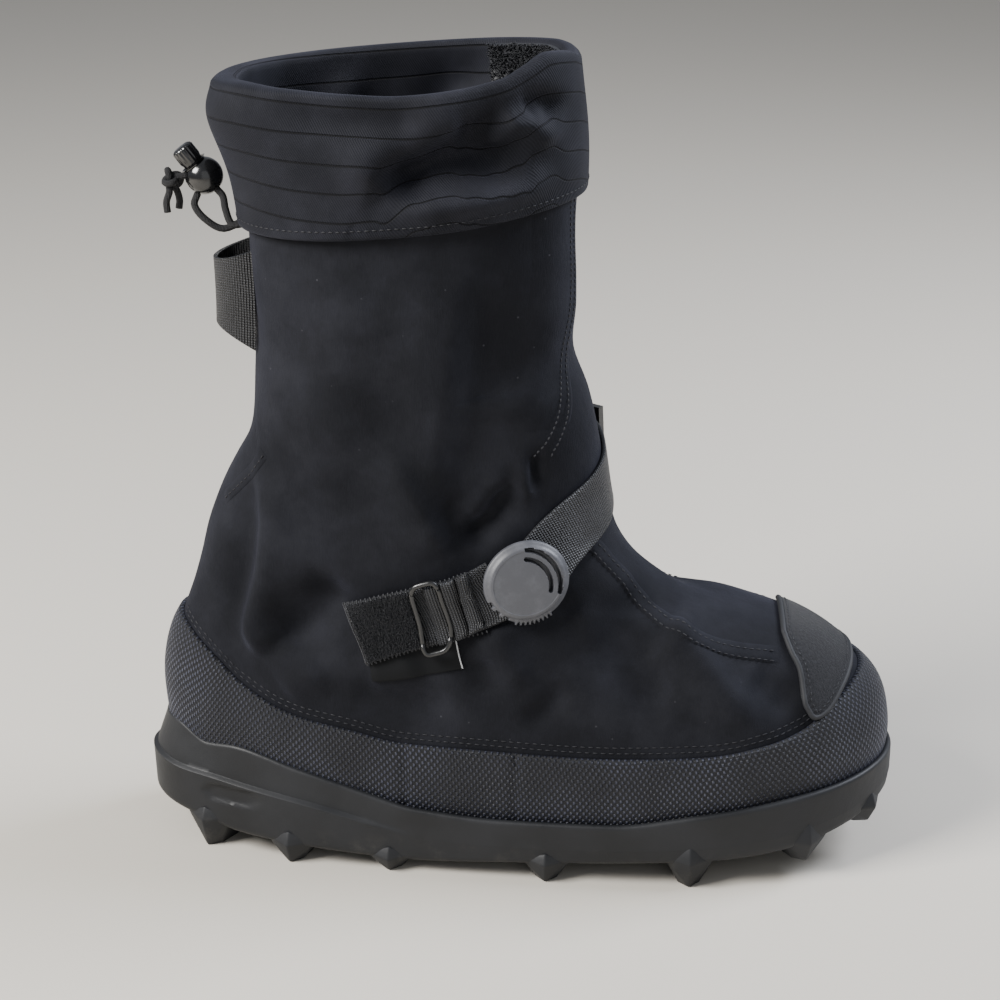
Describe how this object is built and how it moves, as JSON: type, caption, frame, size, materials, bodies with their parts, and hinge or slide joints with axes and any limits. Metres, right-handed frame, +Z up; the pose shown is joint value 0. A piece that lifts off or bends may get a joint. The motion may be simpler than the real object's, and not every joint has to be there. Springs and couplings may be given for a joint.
{
  "type": "winter overshoe",
  "caption": "Tall fabric winter overshoe for the right foot, with lugged rubber sole, woven bumper, folded collar, instep strap and drawcord",
  "frame": {"origin": "on the floor under the middle of the heel, the centre of the heel tread's flat block", "axes": "+X to the toe, +Y to the inner side of the right foot, +Z up"},
  "size_m": [0.335, 0.1192, 0.3545],
  "materials": {
    "sole_rubber": "matt moulded rubber",
    "insole_foam": "foam with a cloth face",
    "nylon_cloth": "dense matt nylon, very dark navy",
    "bumper_weave": "coarse coated basket weave",
    "patch_felt": "felted matt patch",
    "patch_piping": "satin piping",
    "cuff_twill": "twill with fine ripstop lines",
    "hook_tape": "hook tape",
    "webbing": "ribbed webbing",
    "label_cloth": "smooth woven tab, bare",
    "loop_tape": "ribbed tape, bare",
    "black_plastic": "satin moulded",
    "grey_plastic": "grey satin moulded, lightly scuffed",
    "lock_plastic": "glossy black",
    "cord_elastic": "braided elastic"
  },
  "bodies": {
    "overshoe": {"outsole": "sole_rubber", "insole": "insole_foam", "upper": "nylon_cloth", "bumper": "bumper_weave", "toe_patch": "patch_felt", "toe_piping": "patch_piping", "front_flap": "nylon_cloth", "cuff": "cuff_twill", "hook_tape": "hook_tape", "strap_instep": "webbing", "strap_tail": "webbing", "strap_inner": "webbing", "label_tab": "label_cloth", "strap_slider": "black_plastic", "keeper_bar_1": "black_plastic", "keeper_bar_2": "black_plastic", "keeper_bar_3": "black_plastic", "disc_buckle": "grey_plastic", "ladder_lock": "black_plastic", "pull_loop": "loop_tape", "lock_barrel": "lock_plastic", "cord_strand_outer": "cord_elastic", "cord_strand_inner": "cord_elastic", "cord_knot": "cord_elastic", "cord_tail_outer": "cord_elastic", "cord_tail_inner": "cord_elastic"},
    "button": {"lock_button": "lock_plastic"}
  },
  "joints": [
    {"name": "lock_press", "type": "slide", "parent": "overshoe", "child": "button", "axis": [0.5989, 0.0599, -0.7986], "range_m": [0, 0.0035], "stiffness_N_per_m": 120, "springref_m": -0.001}
  ]
}
